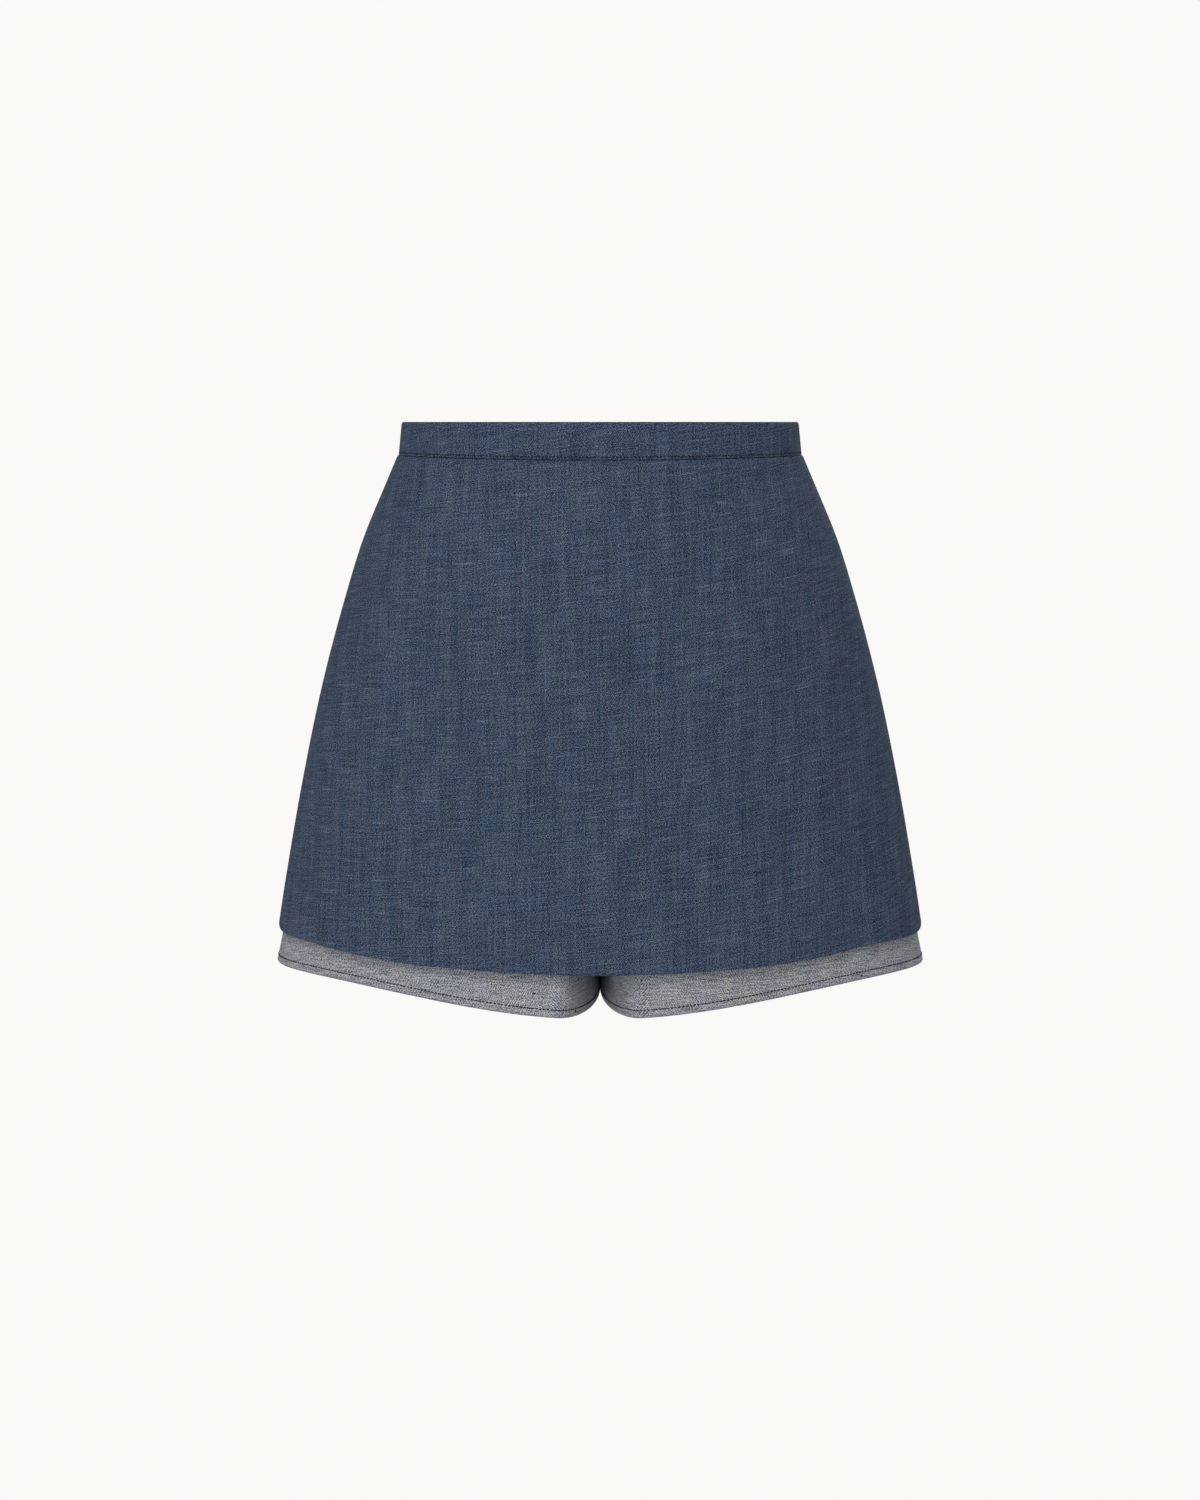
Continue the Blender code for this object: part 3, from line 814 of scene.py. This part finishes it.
# Creases of the seat, given one by one: share from side seam to centre, level, to share, level,
# width and height in metres, on the left back and then on the right back.
BACK_MARKS = {
    "left": [
        (0.160, -0.250, 0.118, -0.278, 0.0090, -0.0016),
        (0.070, -0.262, 0.030, -0.292, 0.0080, -0.0010),
        (0.210, -0.200, 0.150, -0.226, 0.0120, 0.0012),
        (0.090, -0.090, 0.120, -0.150, 0.0140, -0.0010),
        (0.020, -0.044, 0.050, -0.060, 0.0080, -0.0008),
        (0.120, -0.300, 0.126, -0.326, 0.0100, 0.0008),
        (0.060, -0.160, 0.040, -0.196, 0.0120, 0.0009),
    ],
    "right": [
        (0.150, -0.244, 0.104, -0.270, 0.0080, -0.0014),
        (0.080, -0.270, 0.036, -0.296, 0.0090, -0.0012),
        (0.200, -0.184, 0.160, -0.214, 0.0110, 0.0010),
        (0.110, -0.100, 0.100, -0.168, 0.0130, -0.0009),
        (0.030, -0.050, 0.066, -0.062, 0.0090, -0.0007),
        (0.100, -0.296, 0.110, -0.330, 0.0110, 0.0009),
        (0.170, -0.120, 0.182, -0.160, 0.0110, 0.0008),
    ],
}
FRONT_MARKS = [
    (0.120, -0.240, 0.160, -0.268, 0.0090, -0.0008),
    (0.060, -0.280, 0.090, -0.310, 0.0100, -0.0008),
]


def curve_share(level, front):
    """How far down the turn of the centre seam a level is: 0 where it starts, 1 at the crotch."""
    start = FRONT_CURVE_START if front else BACK_CURVE_START
    return min(max((start - level) / (start - CROTCH_LEVEL), 0.0), 1.0)


def leg_space(level):
    """Distance of the inner leg, or of the centre seam, from the centre plane."""
    t = min(max((CROTCH_LEVEL - level) / LEG_SPACE_DROP, 0.0), 1.0)
    return math.sin(t * math.pi / 2) * (LEG_SPACE + SEAM_OVERLAP) - SEAM_OVERLAP


def half_section(level, front, shares):
    """Points (x, depth) of one side's outer face on a level, from side seam (0) to inseam (1)."""
    half_width = smooth_value(SHORTS_ROWS, 1, level)
    deepest = smooth_value(SHORTS_ROWS, 2 if front else 3, level)
    turned = curve_share(level, front)
    parted = 1.0 - math.sqrt(1.0 - turned**2)
    rounding = FRONT_THIGH_ROUNDING if front else BACK_THIGH_ROUNDING
    inner = leg_space(level)
    even = np.linspace(1.0, 0.0, SECTION_STEPS) ** 2
    angle = even * math.pi / 2
    x = inner + (half_width - inner) * np.sin(angle)
    inward = limited((rounding - x + inner) / rounding)
    depth = deepest * np.cos(angle) * (1.0 - parted * (1.0 - np.sqrt(1.0 - inward**2)))
    length = np.cumsum(np.hypot(np.diff(x), np.diff(depth)))
    heading = np.unwrap(np.arctan2(np.diff(depth), np.diff(x)))
    turning = np.cumsum(np.abs(np.diff(heading)))
    leg = (1.0 - TURN_WEIGHT) * np.concatenate([[0.0], length / length[-1]])
    leg += TURN_WEIGHT * np.concatenate([[0.0, 0.0], turning / turning[-1]])
    slide = turned * turned * (3.0 - 2.0 * turned)
    along = (1.0 - slide) * (1.0 - even) + slide * leg
    return np.interp(shares, along, x), np.interp(shares, along, depth) - SEAM_OVERLAP


def section_table(front, shares):
    """Points of half sections at close levels, to read any point of a column from."""
    table_levels = np.arange(SHORTS_ROWS[-1][0], -BAND_HEIGHT + LEVEL_MARGIN, LEVEL_STEP)
    sections = np.array([half_section(level, front, shares) for level in table_levels])
    return table_levels, sections[:, 0], sections[:, 1]


def table_points(table, levels, front):
    """Points at levels down each column of a section table, on the +X side."""
    table_levels, xs, depths = table
    side = -1.0 if front else 1.0
    columns = range(levels.shape[0])
    x = np.array([np.interp(levels[i], table_levels, xs[:, i]) for i in columns])
    y = np.array([np.interp(levels[i], table_levels, depths[:, i]) for i in columns])
    return np.stack([x, side * y, levels], axis=2)


def leg_edges(front, shares):
    """Levels of the leg's raw edge, which stands on the fold of the cuff."""
    x = half_section(HEM_OUTER, front, shares)[0]
    reach = np.cos(math.pi / 2 * x / smooth_value(SHORTS_ROWS, 1, HEM_OUTER)) ** HEM_POWER
    return HEM_OUTER - HEM_DROP * reach + CUFF_THICKNESS + FOLD_ROOM


def panel_levels(front, shares):
    """Levels down each column: even down the side, and closer at the centre's turn."""
    start = FRONT_CURVE_START if front else BACK_CURVE_START
    columns = []
    for share, edge in zip(shares, leg_edges(front, shares)):
        top = band_level(math.pi / 2 * (1.0 - share), front) + SEAM_OVERLAP
        centre = np.linspace(top, start, STRAIGHT_LINES, endpoint=False)
        curve = np.sin(np.linspace(0.0, math.pi / 2, CURVE_LINES + 1))
        centre = np.concatenate([centre, start + (CROTCH_LEVEL - start) * curve])
        even = np.linspace(top, edge + CUFF_HEIGHT, len(centre), endpoint=False)
        body = even + (centre - even) * share**CENTRE_PULL
        leg = edge + CUFF_HEIGHT * np.linspace(1.0, 0.0, LEG_LINES)
        at_seam = top - np.array(SEAM_STEPS)
        at_edge = edge + np.array(EDGE_STEPS)[::-1]
        columns.append(np.concatenate([at_seam, body[1:], leg[:-1], at_edge]))
    return np.array(columns)


def shorts_panel(side, front, shares, table, marks):
    """A front or back panel of the shorts on one side, +1 for the wearer's left."""
    levels = panel_levels(front, shares)
    face = table_points(table, levels, front)
    below = levels[:, :1] - levels
    from_end = np.minimum(below, levels - levels[:, -1:])[0]
    from_side = np.minimum(shares, 1.0 - shares) * PANEL_WIDTH
    along_waist = shares[:, None] * PANEL_WIDTH + 0.0 * levels
    to_centre = (1.0 - shares[:, None]) * PANEL_WIDTH
    aside = np.sin(math.pi / 2 * shares[:, None]) ** 2
    push = marks_at(along_waist, levels, marks) * limited(below / SHORTS_MARKS_FADE)
    push -= SEAM_TUCK * aside * fading(below, SEAM_TUCK_WIDTH)
    if not front:
        to_dart = (shares[:, None] - DART_SHARE) * PANEL_WIDTH
        deep = limited(1.0 - below / DART_LENGTH) * limited(below / DART_START)
        push -= DART_DEPTH * fading(to_dart, BACK_GROOVE_WIDTH) * np.sqrt(deep)
        straight = limited((levels - BACK_CURVE_START) / CENTRE_SEAM_FADE + 1.0)
        push -= CENTRE_SEAM_DEPTH * fading(to_centre, BACK_GROOVE_WIDTH) * straight
    near_centre = limited(1.0 - to_centre / CENTRE_HOLD_WIDTH) ** 2
    sewn = limited((levels[-1:] - CROTCH_LEVEL) / CENTRE_HOLD_DROP + 1.0)
    cut_at = BACK_CUT_AT + (FRONT_CUT_BEYOND if front else 0.0)
    uv = np.stack([lengths_along(face, 0) * side + cut_at, -lengths_along(face, 1)], axis=2)
    face = face * np.array([side, 1.0, 1.0])
    name = f"shorts_{'front' if front else 'back'}_{'left' if side > 0 else 'right'}"
    panel = cloth_wall(
        f"{name}_cloth",
        face,
        from_side,
        from_end,
        push,
        uv,
        DENIM_THICKNESS,
        (denim, reverse_denim),
        hold=near_centre * sewn,
    )
    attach(panel, "garment")
    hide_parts(name)


edge_shares = np.array(EDGE_STEPS) / PANEL_WIDTH
dart_shares = DART_SHARE + np.array(DART_COLUMNS) * DART_COLUMN_STEP
plain = np.linspace(edge_shares[-1], 1.0 - edge_shares[-1], PANEL_COLUMNS)
front_shares = np.concatenate([edge_shares[:-1], plain, 1.0 - edge_shares[-2::-1]])
clear = plain[np.abs(plain - DART_SHARE) > DART_CLEARING]
back_shares = np.sort(np.concatenate([front_shares[:4], clear, dart_shares, front_shares[-4:]]))
front_table = section_table(True, front_shares)
back_table = section_table(False, back_shares)
for side, word in ((1.0, "left"), (-1.0, "right")):
    shorts_panel(side, True, front_shares, front_table, FRONT_MARKS)
    shorts_panel(side, False, back_shares, back_table, BACK_MARKS[word])

# ---------------------------------------------------------------------------------------------
# Cuffs. The leg's own hem turned up with the pale reverse side out, as a ring round each leg
# that folds under the leg's edge. One row of navy thread runs 5 mm above the fold and presses
# a shallow groove into the cloth.
# ---------------------------------------------------------------------------------------------
CUFF_STITCH_RISE = 0.0050
CUFF_STITCH_PITCH = 0.0023
CUFF_STITCH_LENGTH = 0.0014
CUFF_GROOVE = 0.00022
CUFF_GROOVE_WIDTH = 0.0008
# The stitches pucker the cloth beside them, in uneven waves: radians a metre round the leg.
CUFF_PUCKER = 0.00012
CUFF_PUCKER_WIDTH = 0.0035
PUCKER_WAVES = (760.0, 431.0)
PUCKER_DRIFT = 83.0
CUFF_THREAD_RADIUS = 0.00034
CUFF_THREAD_LIFT = 0.00003
CUFF_CUT_AT = 3.0
CUFF_LINES = 34
CUFF_SHARES = np.linspace(0.0, 1.0, 72)
# The upright wall ends this far above the leg's edge, and a leg's direction out is read between
# levels this far apart.
CUFF_STEP = 0.0002


def cuff_profile():
    """Loop of the cuff's section: rise above the leg's edge and distance out from the leg."""
    out = LAYER_GAP + CUFF_THICKNESS
    inside = -DENIM_THICKNESS - LAYER_GAP - CUFF_THICKNESS
    middle, radius = (out + inside) / 2, (out - inside) / 2
    round_over = CUFF_THICKNESS / 2
    upright = np.linspace(CUFF_HEIGHT - round_over, CUFF_STEP, CUFF_LINES)
    loop = [(rise, out) for rise in upright]
    fold = radius - FOLD_ROOM - CUFF_THICKNESS
    bends = [(radius, turn) for turn in range(90, -91, -10)]
    bends += [(radius - CUFF_THICKNESS, turn) for turn in range(-90, 91, 15)]
    for size, turn in bends:
        sine, cosine = math.sin(math.radians(turn)), math.cos(math.radians(turn))
        loop.append((fold - size * cosine, middle + size * sine))
    loop += [(rise, out - CUFF_THICKNESS) for rise in upright[::-1][1:]]
    for turn in range(-60, 61, 30):
        sine, cosine = math.sin(math.radians(turn)), math.cos(math.radians(turn))
        rise = CUFF_HEIGHT - round_over + round_over * cosine
        loop.append((rise, out - round_over + round_over * sine))
    return np.array(loop)


def leg_ring(side, rises):
    """Rings of points round a leg at rises above its edge, with their directions out."""
    rings = []
    for front, table_shares in ((True, CUFF_SHARES), (False, CUFF_SHARES[-2:0:-1])):
        table = section_table(front, table_shares)
        levels = leg_edges(front, table_shares)[:, None] + rises[None, :]
        rings.append(table_points(table, levels, front))
    ring = np.concatenate(rings)
    along = np.roll(ring, -1, axis=0) - np.roll(ring, 1, axis=0)
    out = np.stack([-along[..., 1], along[..., 0], 0.0 * along[..., 0]], axis=2)
    out /= np.linalg.norm(out, axis=2, keepdims=True)
    axis = ring.mean(axis=(0, 1))
    out *= np.sign(np.sum(out[:, 0] * (ring[:, 0] - axis), axis=1).mean())
    flip = np.array([side, 1.0, 1.0])
    return ring * flip, out * flip


def cuff(side, word):
    """The ring of turned-up cloth and its row of stitches."""
    profile = cuff_profile()
    ring, out = leg_ring(side, profile[:, 0])
    columns, lines = ring.shape[:2]
    around = np.insert(np.cumsum(np.linalg.norm(np.diff(ring[:, 0], axis=0), axis=1)), 0, 0.0)
    stitch_line = CUFF_STITCH_RISE - FOLD_ROOM - CUFF_THICKNESS
    above = profile[:, 0] - stitch_line
    shown = (profile[:, 1] > LAYER_GAP).astype(float)
    first, second = PUCKER_WAVES
    waves = np.sin(around * first + 2.0 * np.sin(around * PUCKER_DRIFT)) + np.sin(around * second)
    away = profile[None, :, 1] - shown * CUFF_GROOVE * fading(above, CUFF_GROOVE_WIDTH)
    away = away + shown * CUFF_PUCKER * waves[:, None] * fading(above, CUFF_PUCKER_WIDTH)
    points = ring + out * away[..., None]
    run = np.insert(np.cumsum(np.linalg.norm(np.diff(points[0], axis=0), axis=1)), 0, 0.0)
    uv = np.empty((columns, lines, 2))
    uv[..., 0] = around[:, None] + CUFF_CUT_AT + side
    uv[..., 1] = -run
    at = np.arange(columns * lines).reshape(columns, lines)
    on = np.roll(at, -1, axis=0)
    faces = []
    for i in range(columns):
        for j in range(lines):
            k = (j + 1) % lines
            quad = (at[i, j], on[i, j], on[i, k], at[i, k])
            faces.append(quad if side > 0 else quad[::-1])
    piece = mesh_object(
        f"cuff_{word}_cloth",
        points.reshape(-1, 3),
        faces,
        uv.reshape(-1, 2),
        (reverse_denim,),
        [0] * len(faces),
    )
    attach(piece, "garment")
    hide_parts(f"cuff_{word}")
    ring, out = leg_ring(side, np.array([stitch_line - CUFF_STEP, stitch_line]))
    height = LAYER_GAP + CUFF_THICKNESS - CUFF_GROOVE + CUFF_THREAD_LIFT
    stitched(
        f"cuff_{word}_topstitch",
        [(ring[:, 1] + height * out[:, 1], out[:, 1], True)],
        {
            "Pitch": CUFF_STITCH_PITCH,
            "Length": CUFF_STITCH_LENGTH,
            "Radius": CUFF_THREAD_RADIUS,
            "Sink": THREAD_SINK,
            "Seed": 5 if side > 0 else 6,
            "Thread": dark_thread,
        },
    )


dark_thread = thread_finish("dark navy thread", (0.004, 0.006, 0.012))
for side, word in ((1.0, "left"), (-1.0, "right")):
    cuff(side, word)

# ---------------------------------------------------------------------------------------------
# Concealed zip in the centre back seam. Two woven tapes are sewn inside the seam and carry a
# coil of teeth; the lacquered slider and its pull tab are the frame's own solids.
# ---------------------------------------------------------------------------------------------
ZIP_TOP = -0.0040
ZIP_END = -0.1850
TAPE_WIDTH = 0.0110
TAPE_THICKNESS = 0.0005
TAPE_START = 0.0007
TAPE_STANDOFF = 0.0004
TAPE_COLUMNS = 12
TAPE_LINES = 60
TAPE_EDGE_STEPS = (0.0, 0.0001, 0.0004)
TAPE_CUT_AT = 5.0
# The teeth start below the slider and stop short of the tapes' end.
TEETH_TOP = -0.0120
TEETH_END = -0.1820
TOOTH_PITCH = 0.0013
TOOTH_RADIUS = 0.00042
TOOTH_LENGTH = 0.0034
TOOTH_ARCH = 0.62
TOOTH_SINK = 0.0001


def zip_lacquer():
    """Dark navy lacquer on zinc, a little worn."""
    made, tree, shader = new_finish("dark lacquer")
    place = node(tree, "ShaderNodeTexCoord").outputs["Object"]
    wear = node(tree, "ShaderNodeTexNoise", {"Vector": place, "Scale": 700.0, "Detail": 4.0})
    shade = node(
        tree,
        "ShaderNodeMix",
        {0: wear.outputs["Fac"], 6: (0.020, 0.025, 0.038, 1.0), 7: (0.045, 0.052, 0.070, 1.0)},
        data_type="RGBA",
    )
    tree.links.new(shade.outputs[2], shader.inputs["Base Color"])
    rough = combine(tree, "MULTIPLY_ADD", wear.outputs["Fac"], 0.25, 0.25)
    tree.links.new(rough, shader.inputs["Roughness"])
    shader.inputs["Metallic"].default_value = 0.6
    return made


lacquer = zip_lacquer()
for name in ("zip_slider", "zip_pull"):
    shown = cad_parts[name]
    for i in range(len(shown.material_slots)):
        shown.material_slots[i].link = "OBJECT"
        shown.material_slots[i].material = lacquer

tape_finish = cloth_finish(
    "zip tape",
    shades=[
        (0.0, (0.006, 0.009, 0.016)),
        (0.5, (0.022, 0.030, 0.048)),
        (1.0, (0.070, 0.085, 0.110)),
    ],
    weights=(0.10, 0.04, 0.10, 0.20, 0.01),
    slubs=(1.0, 0.0),
    flecks=[],
    tints=[(1.0, 1.0, 1.0), (1.0, 1.0, 1.0)],
    weft_run=25.0,
    twill_pitch=0.7,
)
lines = np.linspace(ZIP_TOP, ZIP_END, TAPE_LINES)
inside = np.where(
    lines > -BAND_HEIGHT,
    smooth_value(BAND_ROWS, 3, lines) - BAND_THICKNESS,
    smooth_value(SHORTS_ROWS, 3, np.minimum(lines, -BAND_HEIGHT)) - DENIM_THICKNESS,
)
inside = np.minimum(inside, np.roll(inside, 1)) - TAPE_STANDOFF
inside[0] = inside[1]
across, from_side = spread(TAPE_WIDTH, TAPE_COLUMNS, TAPE_EDGE_STEPS)
aside = TAPE_START + across[:, None] + 0.0 * lines
level = 0.0 * aside + lines
curve = np.sqrt(1.0 - (aside / smooth_value(BAND_ROWS, 1, 0.0)) ** 2)
for side, word in ((1.0, "left"), (-1.0, "right")):
    grid = np.stack([side * aside, inside * curve, level], axis=2)
    uv = np.stack([side * aside + TAPE_CUT_AT, level], axis=2)
    tape = cloth_wall(
        f"zip_tape_{word}",
        grid,
        from_side,
        np.minimum(lines[0] - lines, lines - lines[-1]),
        0.0 * aside,
        uv,
        TAPE_THICKNESS,
        (tape_finish, tape_finish),
    )
    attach(tape, "garment")
# The coil's teeth are laid as stitches that run across the line of the zip.
tooth_finish = thread_finish("zip teeth", (0.014, 0.018, 0.030))
teeth = []
for z in np.arange(TEETH_TOP, TEETH_END, -TOOTH_PITCH):
    y = np.interp(-z, -lines, inside) - TAPE_THICKNESS - TOOTH_SINK
    ends = np.array([[-TOOTH_LENGTH / 2, y, z], [TOOTH_LENGTH / 2, y, z - TOOTH_PITCH / 2]])
    teeth.append((ends, np.array([[0.0, -1.0, 0.0]] * 2), False))
stitched(
    "zip_teeth",
    teeth,
    {
        "Pitch": TOOTH_LENGTH / 2,
        "Length": TOOTH_LENGTH * TOOTH_ARCH,
        "Radius": TOOTH_RADIUS,
        "Sink": TOOTH_SINK,
        "Seed": 9,
        "Thread": tooth_finish,
    },
)

# ---------------------------------------------------------------------------------------------
# Studio: a wide pale floor far below the garment, which floats as on a wearer, the photograph's
# camera, soft light from above in front, a weaker fill from the right, a low light from the left
# for the cuffs and one from behind.
# ---------------------------------------------------------------------------------------------
FLOOR_LEVEL = -2.6
FLOOR_SIZE = 120.0
PALE = (0.956, 0.948, 0.930)
AMBIENT = 0.50
CAMERA_DISTANCE = 2.4
CAMERA_ASIDE = -0.0001
CAMERA_LENS = 93.24
CAMERA_SENSOR = 36.0
CAMERA_PITCH = math.radians(4.8303)
# name, place, point aimed at, size and watts
LAMPS = [
    ("key", (-0.45, -2.25, 2.0), (0.0, 0.0, -0.18), 1.2, 33.5),
    ("fill", (1.8, -2.0, 0.4), (0.0, 0.0, -0.18), 2.0, 6.0),
    ("low", (-1.5, -1.9, -0.8), (0.0, 0.0, -0.30), 1.0, 12.0),
    ("back", (0.6, 2.4, 1.2), (0.0, 0.0, -0.18), 1.8, 28.0),
]


def even_light(tree, kind):
    """Pale to the camera, and weaker as a light, so that the garment keeps its shading."""
    path = node(tree, "ShaderNodeLightPath")
    strength = combine(tree, "MULTIPLY_ADD", path.outputs["Is Camera Ray"], 1.0 - AMBIENT, AMBIENT)
    return node(tree, kind, {"Color": (*PALE, 1.0), "Strength": strength}).outputs[0]


world = bpy.data.worlds.new("studio")
bpy.context.scene.world = world
world.use_nodes = True
output = world.node_tree.nodes["World Output"]
world.node_tree.links.new(even_light(world.node_tree, "ShaderNodeBackground"), output.inputs[0])

floor_mesh = bpy.data.meshes.new("floor")
reach = FLOOR_SIZE / 2
corners = [(-reach, -reach), (reach, -reach), (reach, reach), (-reach, reach)]
floor_mesh.from_pydata([(x, y, FLOOR_LEVEL) for x, y in corners], [], [(0, 1, 2, 3)])
floor = new_object("floor", floor_mesh)
floor_paint = bpy.data.materials.new("pale floor")
floor_paint.use_nodes = True
output = floor_paint.node_tree.nodes["Material Output"]
floor_paint.node_tree.links.new(
    even_light(floor_paint.node_tree, "ShaderNodeEmission"), output.inputs[0]
)
floor_mesh.materials.append(floor_paint)

for name, place, aim, size, watts in LAMPS:
    light = bpy.data.lights.new(name, "AREA")
    light.size = size
    light.energy = watts
    lamp = new_object(name, light)
    lamp.location = place
    heading = Vector(aim) - Vector(place)
    lamp.rotation_euler = heading.to_track_quat("-Z", "Y").to_euler()

camera = new_object("camera", bpy.data.cameras.new("camera"))
camera.location = (CAMERA_ASIDE, -CAMERA_DISTANCE, 0.0)
camera.rotation_euler = (math.pi / 2 - CAMERA_PITCH, 0.0, 0.0)
camera.data.lens = CAMERA_LENS
camera.data.sensor_width = CAMERA_SENSOR
bpy.context.scene.camera = camera
bpy.context.scene.view_settings.view_transform = "Standard"
